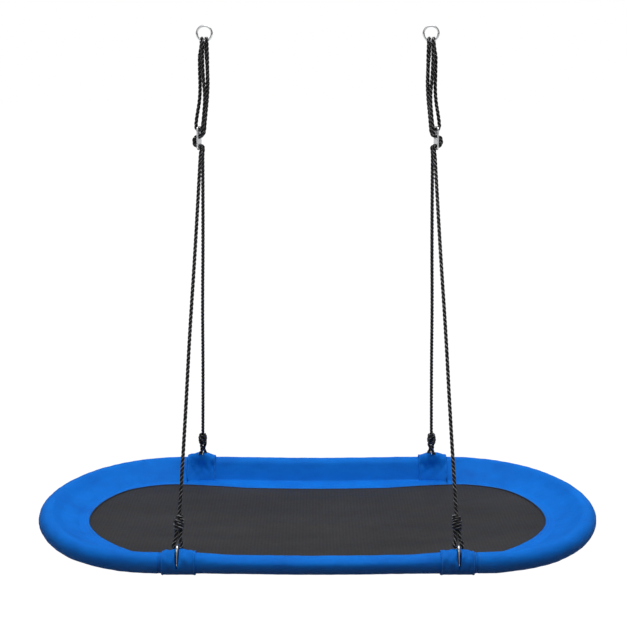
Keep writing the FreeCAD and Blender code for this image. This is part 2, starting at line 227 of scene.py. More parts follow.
def rope_paint():
    """Black laid rope: a painted highlight in grey on the yarns of the strands' crowns, painted shade in
    the grooves between the strands.
    """
    paint = Paint("black_laid_rope", roughness=0.42)
    along, strands = paint.uv()
    crown_highlight = paint.wave(strands, 1.0, math.pi / 2)
    crown_highlight = paint.maths("POWER", crown_highlight, 3.0)
    twist = paint.maths("MULTIPLY_ADD", along, 150.0, paint.maths("MULTIPLY", strands, 7.0))
    yarns = paint.wave(twist, 1.0)
    fuzz = paint.noise(900.0, 5.0, 0.7)
    patches = paint.noise(30.0, 2.0)
    light = paint.maths("MULTIPLY", crown_highlight, paint.maths("MULTIPLY_ADD", yarns, 0.45, 0.55))
    light = paint.maths("MULTIPLY_ADD", paint.maths("SUBTRACT", fuzz, 0.5), 0.30, light)
    light = paint.maths("MULTIPLY", light, paint.maths("MULTIPLY_ADD", patches, 0.7, 0.75))
    # the ramp's top stops are the painted highlight on the crowns, its lowest stop the painted shade
    # between the strands
    paint.set("Base Color", paint.ramp(light, [
        (0.0, (0.0010, 0.0010, 0.0012)), (0.35, (0.0040, 0.0040, 0.0045)),
        (0.58, (0.075, 0.075, 0.078)), (0.86, (0.55, 0.55, 0.56))]))
    paint.set("Roughness", paint.maths("MULTIPLY_ADD", fuzz, 0.3, 0.28))
    paint.set("Normal", paint.bump(fuzz, 0.0003, 0.5, paint.bump(yarns, 0.0006, 0.9)))
    paint.set("Specular IOR Level", 0.35)
    return paint.material


def cloth_paint(name, shade, pale, dark, weave=0.0011):
    """Blue oxford cloth: basket weave and soft cloudy wear."""
    paint = Paint(name, roughness=0.62)
    along, across = paint.uv()
    warp, weft = paint.wave(along, weave), paint.wave(across, weave)
    basket = paint.maths("MULTIPLY", warp, weft)
    basket = paint.maths("ADD", basket, paint.maths(
        "MULTIPLY", paint.maths("SUBTRACT", 1.0, warp), paint.maths("SUBTRACT", 1.0, weft)))
    clouds = paint.noise(5.5, 5.0, 0.6)
    streaks = paint.noise(16.0, 3.0, 0.55, stretch=(1.0, 1.0, 2.5))
    tone = paint.maths("MULTIPLY_ADD", streaks, 0.5, paint.maths("MULTIPLY", clouds, 0.5))
    colour = paint.ramp(tone, [(0.32, dark), (0.5, shade), (0.70, pale)])
    paint.set("Base Color", paint.mix(paint.maths("MULTIPLY", basket, 0.10), colour, dark))
    paint.set("Roughness", paint.maths("MULTIPLY_ADD", clouds, 0.20, 0.58))
    paint.set("Specular IOR Level", 0.10)
    creases = paint.noise(26.0, 6.0, 0.62, stretch=(1.0, 1.0, 1.6))
    soft = paint.bump(creases, 0.004, 0.35)
    paint.set("Normal", paint.bump(basket, 0.00018, 0.6, soft))
    return paint.material


def mat_paint():
    """Dark grey woven mat: tape stripes across the seat, fine rows, faint dusty patches."""
    paint = Paint("grey_woven_mat", roughness=0.7)
    split = paint.node("SeparateXYZ", {0: paint.place()})
    x, y = split.outputs[0], split.outputs[1]
    stripes = paint.wave(x, 0.0091)
    fine = paint.wave(x, 0.0023)
    rows = paint.wave(y, 0.0026)
    weave = paint.maths("MULTIPLY", fine, rows)
    clouds = paint.noise(4.0, 4.0, 0.55, stretch=(1.0, 2.2, 1.0))
    dust = paint.noise(70.0, 4.0, 0.65)
    tone = paint.maths("MULTIPLY_ADD", stripes, 0.16, paint.maths("MULTIPLY", clouds, 0.62))
    tone = paint.maths("MULTIPLY_ADD", dust, 0.22, tone)
    colour = paint.ramp(tone, [(0.32, (0.013, 0.013, 0.015)), (0.50, (0.021, 0.021, 0.0235)),
                               (0.70, (0.031, 0.031, 0.034))])
    gaps = (0.010, 0.010, 0.012)
    paint.set("Base Color", paint.mix(paint.maths("MULTIPLY", weave, 0.35), colour, gaps))
    paint.set("Specular IOR Level", 0.38)
    paint.set("Roughness", paint.maths("MULTIPLY_ADD", dust, 0.3, 0.5))
    paint.set("Normal", paint.bump(weave, 0.0003, 0.5, paint.bump(stripes, 0.0004, 0.35)))
    return paint.material


def metal_paint(name, base, rough, scratch=0.25, grain=(1.0, 1.0, 1.0)):
    """Plated steel: fine grain, smudges and small scratches in the gloss."""
    paint = Paint(name, base, rough, 1.0)
    smudge = paint.noise(60.0, 4.0, 0.6)
    lines = paint.noise(900.0, 3.0, 0.7, stretch=grain)
    tone = paint.maths("MULTIPLY_ADD", lines, 0.35, paint.maths("MULTIPLY", smudge, 0.65))
    darker = tuple(0.72 * c for c in base)
    paint.set("Base Color", paint.ramp(tone, [(0.3, darker), (0.65, base)]))
    paint.set("Roughness", paint.maths("MULTIPLY_ADD", tone, scratch, rough - scratch * 0.35))
    paint.set("Normal", paint.bump(lines, 0.00008, 0.35))
    return paint.material


def coated_paint():
    """Grey powder coat on the hidden rim tube: orange peel and rubbed patches."""
    paint = Paint("grey_powder_coat", roughness=0.5)
    peel = paint.noise(1400.0, 2.0)
    rubbed = paint.noise(30.0, 5.0, 0.65)
    paint.set("Base Color", paint.ramp(rubbed, [
        (0.35, (0.20, 0.205, 0.215)), (0.7, (0.31, 0.315, 0.325))]))
    paint.set("Roughness", paint.maths("MULTIPLY_ADD", rubbed, 0.3, 0.35))
    paint.set("Normal", paint.bump(peel, 0.0001, 0.4))
    return paint.material


def thread_paint():
    """Blue sewing thread: two plies twisted, a little paler than the cloth."""
    paint = Paint("blue_thread", roughness=0.5)
    along, across = paint.uv()
    ply = paint.wave(paint.maths("MULTIPLY_ADD", along, 900.0, across), 1.0)
    fuzz = paint.noise(1500.0, 3.0)
    tone = paint.maths("MULTIPLY_ADD", fuzz, 0.4, paint.maths("MULTIPLY", ply, 0.6))
    paint.set("Base Color", paint.ramp(tone, [(0.2, (0.010, 0.16, 0.52)), (0.8, (0.030, 0.27, 0.78))]))
    paint.set("Roughness", paint.maths("MULTIPLY_ADD", fuzz, 0.2, 0.4))
    paint.set("Normal", paint.bump(ply, 0.0002, 0.6))
    return paint.material


def shadow_gap_paint():
    """Dark woven tape along the mat's edge, its colour a painted shadow for the gap between the mat and
    the cover's strip.
    """
    paint = Paint("dark_painted_shadow_gap", roughness=0.75)
    along, across = paint.uv()
    rib = paint.maths("MULTIPLY", paint.wave(along, 0.0016), paint.wave(across, 0.0012))
    shadow_mottle = paint.noise(55.0, 4.0, 0.6)
    tone = paint.maths("MULTIPLY_ADD", shadow_mottle, 0.6, paint.maths("MULTIPLY", rib, 0.4))
    # near-black blue: the painted shadow in the gap at the mat's edge
    paint.set("Base Color", paint.ramp(tone, [
        (0.2, (0.004, 0.007, 0.016)), (0.8, (0.012, 0.020, 0.044))]))
    paint.set("Roughness", paint.maths("MULTIPLY_ADD", shadow_mottle, 0.2, 0.65))
    paint.set("Normal", paint.bump(rib, 0.0003, 0.6))
    return paint.material


BLUE = (0.0016, 0.178, 0.74)
# a darker copy of the cover's blue, painted shade for the front wraps; the rear wraps use the cover's own
# paint
FRONT_WRAP_SHADED_BLUE = (0.0014, 0.162, 0.68)
THREAD_PAINT = thread_paint()
SHADOW_GAP_PAINT = shadow_gap_paint()
ROPE_PAINT = rope_paint()
COVER_PAINT = cloth_paint("blue_oxford_cover", BLUE, (0.0022, 0.205, 0.82), (0.0012, 0.144, 0.65))
FRONT_WRAP_SHADED_PAINT = cloth_paint("blue_oxford_wrap_painted_shade", FRONT_WRAP_SHADED_BLUE, (0.0019, 0.185, 0.75), (0.0011, 0.134, 0.60))
MAT_PAINT = mat_paint()
RING_PAINT = metal_paint("ring_steel", (0.72, 0.73, 0.75), 0.2)
PLATE_PAINT = metal_paint("plate_steel", (0.70, 0.71, 0.73), 0.28, 0.3, (1.0, 1.0, 6.0))
HOOK_PAINT = metal_paint("hook_chrome", (0.78, 0.79, 0.81), 0.16)
TUBE_PAINT = coated_paint()


# ---- ropes ---------------------------------------------------------------------------------------
LAY = 0.035                  # one turn of a strand
RING_STEP = 0.0015           # between sections of the rope's mesh
STRANDS = 3
STRAND_R, STRAND_OUT = 0.0026, 0.0024
SIDES = 18


def strand_section():
    """The outline of three laid strands: (angle, radius, place across in strands)."""
    angle = np.arange(SIDES) * 2 * math.pi / SIDES
    across = angle * STRANDS / (2 * math.pi)
    off = (across - np.round(across)) * 2 * math.pi / STRANDS
    radius = STRAND_OUT * np.cos(off) + np.sqrt(STRAND_R ** 2 - (STRAND_OUT * np.sin(off)) ** 2)
    return angle, radius, across


SECTION = strand_section()


def nurbs_line(name, points):
    """The line of the rope's NURBS route through its given control points."""
    data = bpy.data.curves.new(name + "_route", "CURVE")
    data.dimensions = "3D"
    data.resolution_u = 40
    spline = data.splines.new("NURBS")
    spline.points.add(len(points) - 1)
    for slot, place in zip(spline.points, points):
        slot.co = (*place, 1.0)
    spline.order_u = 3
    spline.use_endpoint_u = True
    holder = bpy.data.objects.new(name + "_route", data)
    drawn = bpy.data.meshes.new_from_object(holder)
    line = np.array([v.co for v in drawn.vertices], float)
    bpy.data.meshes.remove(drawn)
    bpy.data.objects.remove(holder)
    bpy.data.curves.remove(data)
    return line


def even(line, step):
    """The line's points spaced evenly, about step apart, and their distances along it."""
    along = run_of(line)
    count = max(8, int(round(along[-1] / step)))
    at = np.linspace(0, along[-1], count + 1)
    return np.stack([np.interp(at, along, line[:, k]) for k in range(3)], axis=1), at


class Layer:
    """Lays strands along one route after another, keeping the twist and the section's turn."""

    def __init__(self, sense):
        self.side = None
        self.turn = 0.0
        self.sense = sense

    def lay(self, name, points):
        line, at = even(nurbs_line(name, points), RING_STEP)
        tangent = np.gradient(line, axis=0)
        tangent /= np.linalg.norm(tangent, axis=1)[:, None]
        side = self.side if self.side is not None else np.array([1.0, 0.0, 0.0])
        if abs(side @ tangent[0]) > 0.95:
            side = np.array([0.0, 1.0, 0.0])
        angle, radius, across = SECTION
        rings, uvs = [], []
        for place, forward, s in zip(line, tangent, at):
            side = side - (side @ forward) * forward
            side /= np.linalg.norm(side)
            up = np.cross(forward, side)
            a = angle + self.turn + self.sense * s * 2 * math.pi / LAY
            rings.append(place + np.outer(radius * np.cos(a), side) + np.outer(radius * np.sin(a), up))
            uvs.append(np.stack([np.full(SIDES, s), across], axis=1))
        self.side = side
        self.turn += self.sense * at[-1] * 2 * math.pi / LAY
        made = tube_mesh(name, rings, uvs, line[0], line[-1], ROPE_PAINT)
        return made, line, float(at[-1])


def tube_mesh(name, rings, uvs, first, last, material):
    """Rings of points joined into a closed tube, its ends closed on a middle point."""
    n, count = len(rings[0]), len(rings)
    points = np.concatenate([*rings, [first], [last]])
    faces = []
    for i in range(count - 1):
        faces += ring_quads(n, i, i + 1)
    for k in range(n):
        m = (k + 1) % n
        faces.append((count * n, m, k))
        faces.append((count * n + 1, (count - 1) * n + k, (count - 1) * n + m))
    uv = np.concatenate([*uvs, [[0, 0.5]], [[uvs[-1][0][0], 0.5]]])
    return mesh_object(name, points, faces, uv, material)


RING_X = 0.293                                               # the rings' distance from the middle
PLATE_X, PLATE_Z, PLATE_YAW = -0.311, -0.271, math.radians(-8.0)
CUT_Z, STRAND_LOW = -0.0575, -0.22285                        # the strands' upper and lower ends
LOOP_SIDE, LOOP_LOW, LOOP_TOP = 0.009, -0.03265, -0.0125     # the passes over the ring
SLOT_HALF, SLOT_LOW, SLOT_HIGH = 0.011, -0.018, 0.007        # the passes through the plate
WIRE_TOP = 0.0429                                            # top of the hook, up its own axis
KNOT_TURNS, KNOT_PITCH, COIL_POINTS = 4, 0.0089, 12
KNOT_TOP = 0.117
LEG_UNDER = 0.018            # the pass through the plate ends this far down the leg
LEG_CUT = 0.0183             # and the leg's own piece starts here


def by_plate(across, along, z):
    """A point near the left adjuster plate: through the plate, along it, up from its centre."""
    c, d = math.cos(PLATE_YAW), math.sin(PLATE_YAW)
    return Vector((PLATE_X + across * c - along * d, across * d + along * c, PLATE_Z + z))


LEG_TOPS = {row: by_plate(0.0063, row * 0.0125, -0.035) for row in (-1, 1)}
LEAN_X = math.atan2(TUBE_Y - 0.0125, LEG_TOPS[-1].z - RIM_Z)
HOOK_FRAME = Matrix.Translation((-ATTACH_X, -TUBE_Y, RIM_Z)) @ Matrix.Rotation(-LEAN_X, 4, "X")


def hook_top(row):
    """Where the rope's eye hangs in the left side's hook of one row."""
    point = HOOK_FRAME @ Vector((0, 0, WIRE_TOP))
    return Vector((point.x, -row * point.y, point.z))


def leg_direction(row):
    """Straight up the left side's leg of one row."""
    return (LEG_TOPS[row] - hook_top(row)).normalized()


def rope_frame(row):
    """The rope eye's frame in one row on the left side: its axis runs up along the leg."""
    turn = Vector((0, 0, 1)).rotation_difference(leg_direction(row)).to_matrix().to_4x4()
    return Matrix.Translation(hook_top(row)) @ turn @ Matrix.Translation((0, 0, -WIRE_TOP))


def sided(points, side):
    """Points of the left side's ropes, for the left (-1) or right (1) side."""
    return [(-side * p[0], p[1], p[2]) for p in points]


def passed(row):
    """The rope's S through the plate's slots, from its leg's top upward."""
    y = row * SLOT_HALF
    return [LEG_TOPS[row] - leg_direction(row) * LEG_UNDER, LEG_TOPS[row], by_plate(0.0100, y, SLOT_LOW),
            by_plate(-0.011, y, SLOT_LOW), by_plate(-0.011, y, SLOT_HIGH), by_plate(0.011, y, SLOT_HIGH)]


def at_ring(x, y, z):
    """A point near the left ring, from its centre."""
    return Vector((x - RING_X, y, z))


def over_ring(start, front_x, rear_x, end):
    """One pass over the ring between two strands, front to rear."""
    return [start, at_ring(front_x, -LOOP_SIDE, LOOP_LOW), at_ring(front_x, -LOOP_SIDE, LOOP_TOP),
            at_ring(rear_x, LOOP_SIDE, LOOP_TOP), at_ring(rear_x, LOOP_SIDE, LOOP_LOW), end]


def upper_rope(side, word):
    """The rope between the two legs of one side, from its front pass round to its rear pass."""
    front_cut, outer_cut = at_ring(-0.0052, -0.0094, CUT_Z), at_ring(-0.0138, 0.0070, CUT_Z)
    middle_cut, rear_cut = at_ring(0.0074, -0.0068, CUT_Z), at_ring(0.0034, 0.0094, CUT_Z)
    routes = {
        "front": [*passed(-1), by_plate(0.0145, -0.011, 0.048), at_ring(0.0010, -0.011, -0.160),
                  at_ring(-0.0045, -0.011, -0.110), front_cut],
        "over_outer": over_ring(front_cut, -0.0044, -0.0086, outer_cut),
        "middle": [outer_cut, at_ring(-0.0140, 0.006, -0.090), at_ring(-0.0128, 0.0045, -0.160),
                   by_plate(-0.0070, 0, 0.048), by_plate(-0.0080, 0, 0.024), by_plate(0.0085, 0, 0.024),
                   by_plate(0.012, 0, 0.048), at_ring(0.0052, -0.002, -0.160),
                   at_ring(0.0070, -0.0055, -0.120), middle_cut],
        "over_inner": over_ring(middle_cut, 0.0068, 0.0030, rear_cut),
        "rear": [rear_cut, at_ring(0.0068, 0.010, -0.100), at_ring(0.0062, 0.0105, -0.150),
                 by_plate(0.0145, 0.011, 0.048), *reversed(passed(1))],
    }
    stands_for = {
        "front": ["rope_strand_front", "rope_weave_front"],
        "over_outer": ["rope_loop_outer"],
        "middle": ["rope_strand_outer", "rope_strand_middle", "rope_plate_loop"],
        "over_inner": ["rope_loop_inner"],
        "rear": ["rope_strand_rear", "rope_weave_rear"],
    }
    layer = Layer(-side)
    for part, points in routes.items():
        piece, line, length = layer.lay(f"rope_{part}_{word}_laid", sided(points, side))
        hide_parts(*[f"{node}_{word}" for node in stands_for[part]])
        if part.startswith("over"):
            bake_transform(piece)
        else:
            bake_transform(piece)


COIL_PULL = 0.966                        # twelve points a turn draw the coil in by this much
KNOT_PLACES = {-1: (0.0, 0.0790), 1: (1.0, 0.0845)}    # each row's share of the eye's twist, coil's start
WAVER = ((0.0, 0.0), (0.0012, -0.0008), (-0.0010, 0.0010), (0.0009, 0.0006), (0.0, 0.0))
TURN_RADII = (0.0074, 0.0090, 0.0088, 0.0070)
# one side of the eye from the knot down: height, distance from the axis, twist in radians
EYE_WAYS = ((0.085, 0.0050, 0.3), (0.071, 0.0051, 0.85), (0.058, 0.0052, 1.05), (0.0475, 0.0096, 0.35),
            (0.0339, 0.0100, 0.0))


def leg_rope(side, word, row, row_word):
    """One straight leg and, below it, the knotted eye in the hook."""
    layer = Layer(-side)
    frame_here = rope_frame(row)
    top = LEG_TOPS[row] - leg_direction(row) * LEG_CUT
    low = frame_here @ Vector((0, 0, KNOT_TOP))
    points = [top.lerp(low, k / 4) + Vector((dx, dy, 0)) for k, (dx, dy) in enumerate(WAVER)]
    leg, leg_line, leg_long = layer.lay(f"rope_leg_{row_word}_{word}_laid", sided(points, side))
    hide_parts(f"rope_leg_{row_word}_{word}")
    row_spin, knot_low = KNOT_PLACES[row]
    turns = []
    for k in range(COIL_POINTS * KNOT_TURNS + 1):
        turn = k / COIL_POINTS
        a = 2 * math.pi * turn
        r = np.interp(turn, (0.5, 1.5, 2.5, 3.5), TURN_RADII) / COIL_PULL
        turns.append((r * math.cos(a), r * math.sin(a), knot_low + KNOT_PITCH * (turn - 0.02)))
    ways = [(r * math.cos(spin * row_spin), r * math.sin(spin * row_spin), z) for z, r, spin in EYE_WAYS]
    eye = [(0.0, 0.0, KNOT_TOP), (-0.001, 0.001, 0.099), *[(-x, -y, z) for x, y, z in ways],
           *reversed(ways[1:]), (0.0060, -0.0005, 0.076)]
    tail = [(0.0040, 0.0010, KNOT_TOP - 0.0015)]
    route = [frame_here @ Vector(p) for p in [*eye, *turns, *tail]]
    knot_name = f"rope_knot_{row_word}_{word}"
    knot, knot_line, knot_long = Layer(-side).lay(knot_name + "_laid", sided(route, side))
    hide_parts(knot_name)
    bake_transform(leg)
    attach(knot, f"{word}_legs")


for side, word in ((-1, "left"), (1, "right")):
    upper_rope(side, word)
    for row, row_word in ((-1, "front"), (1, "rear")):
        leg_rope(side, word, row, row_word)


# ---- the rim's plan ------------------------------------------------------------------------------
U0, V0 = TUBE_Y - CORNER_R, TUBE_X - STRAIGHT_HALF - CORNER_R
SPREAD = (U0 * U0 + V0 * V0) / (2 * V0)
END_R = CORNER_R + SPREAD
CORNER_TURN = math.acos(U0 / SPREAD)


def rim_run(start_x, end_x, fine=0.008, extra=()):
    """Stations along the front side from start_x to end_x, extra x places included."""
    count = max(2, int(round(abs(end_x - start_x) / fine)))
    xs = set(np.round(np.linspace(start_x, end_x, count + 1), 5))
    xs |= {round(x, 5) for x in extra if start_x < x < end_x}
    xs = np.array(sorted(xs))
    keep = np.concatenate([[True], np.diff(xs) > 0.0006])
    xs = xs[keep]
    place = np.stack([xs, np.full(len(xs), -TUBE_Y)], axis=1)
    return place, np.tile([0.0, -1.0], (len(xs), 1))


def rim_arc(centre, radius, start, end, fine=0.008):
    """Stations along an arc of the rim, from one angle to another."""
    count = int(round(abs(end - start) * radius / fine))
    a = np.linspace(start, end, count + 1)
    normal = np.stack([np.cos(a), np.sin(a)], axis=1)
    return np.array(centre) + radius * normal, normal


# extra stations round each hook: the strap's notch and the wrap's hems
HOOK_MARKS = (-43, -42, -15.5, -13.5, -12, -6, 0, 6, 12, 13.5, 15.5, 42, 43)


def panel(name):
    """(places, outward normals) of one cover panel's stations, seam to seam."""
    marks = []
    for x in (-ATTACH_X, ATTACH_X):
        marks += [x + d * MM for d in HOOK_MARKS]
    if name in ("front", "back"):
        place, normal = rim_run(-STRAIGHT_HALF, STRAIGHT_HALF, extra=marks)
    else:
        corner = (STRAIGHT_HALF, U0)
        quarter = math.pi / 2
        meet = quarter - CORNER_TURN
        runs = [rim_arc((corner[0], -corner[1]), CORNER_R, -quarter, -meet),
                rim_arc((TUBE_X - END_R, 0), END_R, -meet, meet),
                rim_arc(corner, CORNER_R, meet, quarter)]
        place = np.concatenate([r[0][(i > 0):] for i, r in enumerate(runs)])
        normal = np.concatenate([r[1][(i > 0):] for i, r in enumerate(runs)])
    if name in ("back", "left"):
        place, normal = -place, -normal
    return place, normal


STITCH_PITCH, STITCH_LONG, STITCH_WIDE, STITCH_HIGH = 0.0048, 0.0034, 0.0009, 0.0005


def stitches(name, rows):
    """One mesh of thread stitches; each row is (points on the cloth, outward normals)."""
    points, faces, uvs = [], [], []
    for line, out in rows:
        line, out = np.asarray(line, float), np.asarray(out, float)
        along = run_of(line)
        count = int(along[-1] / STITCH_PITCH)
        for s in (np.arange(count) + 0.5) * along[-1] / count:
            here, ahead, behind = (np.array([np.interp(t, along, line[:, k]) for k in range(3)])
                                   for t in (s, s + 0.0005, s - 0.0005))
            up = np.array([np.interp(s, along, out[:, k]) for k in range(3)])
            up /= np.linalg.norm(up)
            forward = (ahead - behind) / np.linalg.norm(ahead - behind)
            wide = np.cross(up, forward) * STITCH_WIDE / 2
            first = len(points)
            for share in (-0.5, -0.28, 0.28, 0.5):
                rise = STITCH_HIGH * (0.0 if abs(share) > 0.4 else 1.0) - 0.0001
                middle = here + forward * STITCH_LONG * share
                pinch = 0.35 if abs(share) > 0.4 else 1.0
                arch = ((-1, -0.0003), (-0.6, rise * 0.7), (0, rise), (0.6, rise * 0.7), (1, -0.0003))
                for hand, lift in arch:
                    points.append(middle + wide * hand * pinch + up * lift)
                    uvs.append((s + share * STITCH_LONG, hand * 0.5))
            for r in range(3):
                faces += ring_quads(5, r, r + 1, first)
            faces.append(tuple(first + k for k in range(5)))
            faces.append(tuple(first + 15 + k for k in (4, 3, 2, 1, 0)))
    made = mesh_object(name, points, faces, uvs, THREAD_PAINT)
    outward(made)
    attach(made, "seat")
    return made


def outward(made):
    """Turn every face of a mesh the right way out."""
    bm = bmesh.new()
    bm.from_mesh(made.data)
    bmesh.ops.recalc_face_normals(bm, faces=bm.faces)
    bm.to_mesh(made.data)
    bm.free()


TIP_CHANGES = (0.345, 0.470)     # from here to here along the rim the crease moves toward the mat
SAG = 0.0035                     # the long sides' bow downward in their middle


def tip_of(place):
    """How far inward the cover's crease lies: near the tube at the sides, near the mat at the ends."""
    return TIP_IN + (END_TIP_IN - TIP_IN) * between(np.abs(place[:, 0]), *TIP_CHANGES)


def sag_of(place):
    """The long sides bow down a little between the hooks."""
    x = np.abs(place[:, 0])
    return -SAG * np.cos(np.clip(x / ATTACH_X, 0, 1) * math.pi / 2) ** 2


# the mat's edge at these distances from the middle: its extra height, and its extra reach outward
EDGE_X = (0.0, 0.21, 0.30, 0.42, 0.50, 0.55, 0.60, 0.63)
BACK_RISE = (-0.0048, -0.0044, -0.0004, 0.0048, 0.0080, 0.0120, 0.0150, 0.0155)
BACK_WIDER = (0.0065, 0.0070, 0.0110, 0.0120, 0.0110, 0.0080, 0.0020, 0.0)
FRONT_RISE = (-0.0042, -0.0036, 0.0004, 0.0075, 0.0135, 0.0162, 0.0170, 0.0155)
FRONT_WIDER = (0.0065, 0.0070, 0.0110, -0.0010, -0.0095, -0.0115, -0.0060, 0.0)


def mat_edge(place, normal):
    """(Extra height, extra reach outward) of the mat's edge: it dips between the hooks."""
    x = np.abs(place[:, 0] - FLANGE_IN * normal[:, 0])
    front = place[:, 1] < 0
    rise = np.where(front, np.interp(x, EDGE_X, FRONT_RISE), np.interp(x, EDGE_X, BACK_RISE))
    wider = np.where(front, np.interp(x, EDGE_X, FRONT_WIDER), np.interp(x, EDGE_X, BACK_WIDER))
    return rise, wider


ARC, FACE, STRIP, UNDER = 30, 12, 9, 12      # points of the outline on each of its stretches
TOP_GAP, LOW_GAP = 0.0011, 0.0008            # the crease above and below the strip's middle
LAP = 0.0007                                 # half the strip's thickness


def cover_profile(tip, radius, flange):
    """The padded rim's closed outline as (inward, up): the strip, up over the tube and back below."""
    down = TIP_DOWN
    reach = math.hypot(tip, down)
    lean, half = math.atan2(-down, tip), math.acos(radius / reach)
    t = np.linspace(0, 1, STRIP)
    strip = np.stack([flange + (tip + 0.004 - flange) * t, np.full(STRIP, -down + LAP)], axis=1)
    strip[0, 1] -= 0.0006
    up_end = radius * np.array([math.cos(lean + half), math.sin(lean + half)])
    low_end = radius * np.array([math.cos(lean - half), math.sin(lean - half)])
    tip_top, tip_low = np.array([tip, -down + TOP_GAP]), np.array([tip, -down - LOW_GAP])
    t = np.linspace(0, 1, FACE)[:, None]
    face = tip_top + (up_end - tip_top) * t
    a = np.linspace(lean + half, lean - half + 2 * math.pi, ARC + 2)[1:-1]
    arc = radius * np.stack([np.cos(a), np.sin(a)], axis=1)
    t = np.linspace(0, 1, UNDER)[:, None]
    under = low_end + (tip_low - low_end) * t
    t = np.linspace(0, 1, 5)[1:, None]
    back = tip_low + (np.array([flange, -down - LAP]) - tip_low) * t
    return np.concatenate([strip, face, arc, under, back])


PROFILE = STRIP + FACE + ARC + UNDER + 4
GATHER, GATHER_HIGH = Ripples(11, 0.034, 0.30), 0.0008
BROAD, BROAD_HIGH = Ripples(12, 0.11, 0.09), 0.0006
SLANT, SLANT_HIGH = Ripples(13, 0.050, 0.060), 0.0005
SEAM_DEEP, SEAM_WIDE, SEAM_STITCH = 0.0007, 0.0035, 0.0045
NOTCH_FROM, NOTCH_TO, NOTCH_DEEP = 0.012, 0.0155, 0.47     # where the hook's strap grips the rim
SLUMP, SLUMP_FROM, SLUMP_TO = 0.0058, 0.21, 0.325          # the front rim's top between the hooks


def cover_panel(name, seed):
    """One sewn panel of the rim cover with its gathers, seam grooves and thread."""
    place, normal = panel(name)
    along = run_of(place)
    tips, sags = tip_of(place), sag_of(place)
    rises, wider = mat_edge(place, normal)
    slump = SLUMP * (1 - between(np.abs(place[:, 0]), SLUMP_FROM, SLUMP_TO)) * (name == "front")
    tips = np.minimum(tips, FLANGE_IN - wider - 0.014)
    nearest = np.abs(np.abs(place[:, 0]) - ATTACH_X)
    on_side = np.abs(np.abs(place[:, 1]) - TUBE_Y) < 1e-4
    notch = np.where(on_side, 1 - between(nearest, NOTCH_FROM, NOTCH_TO), 0.0)
    seam = np.minimum(along, along[-1] - along)
    rings, uvs, outs = [], [], []
    for i in range(len(place)):
        section = cover_profile(tips[i], RIM_R, FLANGE_IN - wider[i])
        section[:, 1] += rises[i] * between(section[:, 0], 0.030, 0.090)
        section[:, 1] -= slump[i] * between(section[:, 1], 0.002, RIM_R)
        across = run_of(section)
        out = outline_normals(section)
        index = np.arange(PROFILE)
        on_face = np.clip((index - STRIP) / FACE, 0, 1)
        face_fade = np.exp(-on_face * 2.2) * np.minimum(1, (index - STRIP + 1) / 3)
        face_fade = np.where(index < STRIP, 0.0, face_fade)
        face_fade = np.where(index >= STRIP + FACE + ARC, 0.35, face_fade)
        bulk = between(index, STRIP, STRIP + FACE) * (1 - between(index, PROFILE - 8, PROFILE - 4))
        end_share = float(between(abs(place[i, 0]), 0.36, 0.50))
        s = along[i] + seed * 7.3
        here = np.full(PROFILE, s)
        lift = GATHER_HIGH * (0.45 + 0.5 * end_share) * face_fade * GATHER.at(here, across)
        lift += BROAD_HIGH * (0.35 + 0.15 * end_share) * bulk * BROAD.at(here, across)
        outer = between(section[:, 0], 0.012, -0.016)
        slant = SLANT.at(s + across * 0.8, across)
        lift += SLANT_HIGH * (0.30 + 0.2 * end_share) * bulk * outer * slant
        lift -= SEAM_DEEP * math.exp(-(seam[i] / SEAM_WIDE) ** 2) * bulk
        section = section + out * lift[:, None] * (1 - notch[i])
        if notch[i] > 0:
            inner = np.linalg.norm(section, axis=1)
            gripped = (inner < RIM_R * 1.12) & (section[:, 1] > -0.024)
            pull = np.where(gripped, 1 - NOTCH_DEEP * notch[i], 1.0)
            section = section * pull[:, None]
        xy = place[i] - np.outer(section[:, 0], normal[i])
        rings.append(np.column_stack([xy, RIM_Z + sags[i] + section[:, 1]]))
        outs.append(np.column_stack([-np.outer(out[:, 0], normal[i]), out[:, 1]]))
        uvs.append(np.column_stack([np.full(PROFILE, along[i]), across]))
    ends = [ring.mean(0) for ring in (rings[0], rings[-1])]
    made = tube_mesh(f"rim_cover_{name}", rings, uvs, *ends, COVER_PAINT)
    outward(made)
    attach(made, "seat")
    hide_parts(f"cover_{name}", f"foam_{name}")
    rings, outs = np.array(rings), np.array(outs)
    edge = [(rings[:, 1] * 0.6 + rings[:, 2] * 0.4, outs[:, 2]), (rings[:, 4], outs[:, 4])]
    body = slice(STRIP, STRIP + FACE + ARC + UNDER - 2)
    for station in np.searchsorted(along, (SEAM_STITCH, along[-1] - SEAM_STITCH)):
        edge.append((rings[station, body], outs[station, body]))
    stitches(f"rim_thread_{name}", edge)
    return made


for order, name in enumerate(("front", "right", "back", "left")):
    cover_panel(name, order)


# ---- the mat -------------------------------------------------------------------------------------
def mat_outline(inward, count):
    """Points round the inside of the rim at a distance inward of the tube, evenly spaced."""
    loops = []
    for name in ("front", "right", "back", "left"):
        place, normal = panel(name)
        rise, wider = mat_edge(place, normal)
        inner = place - (inward - wider[:, None]) * normal
        loops.append(np.column_stack([inner, rise])[:-1])
    loop = np.concatenate(loops)
    closed = np.concatenate([loop, loop[:1]])
    along = run_of(closed)
    front = len(loops[0])
    start = np.interp(0.0, closed[:front, 0], along[:front])
    at = (start + np.linspace(0, along[-1], count + 1)[:-1]) % along[-1]
    places = np.stack([np.interp(at, along, closed[:, k]) for k in range(3)], axis=1)
    return places[:, :2], places[:, 2]


MAT_DIP, MAT_THICK = 0.005, 0.0012
MAT_CREASE, MAT_RIPPLE = 0.0012, 0.0005
SPINE_SHARE, SPINE_HALF = 0.36, 0.40     # the mat's middle line, where its rings close


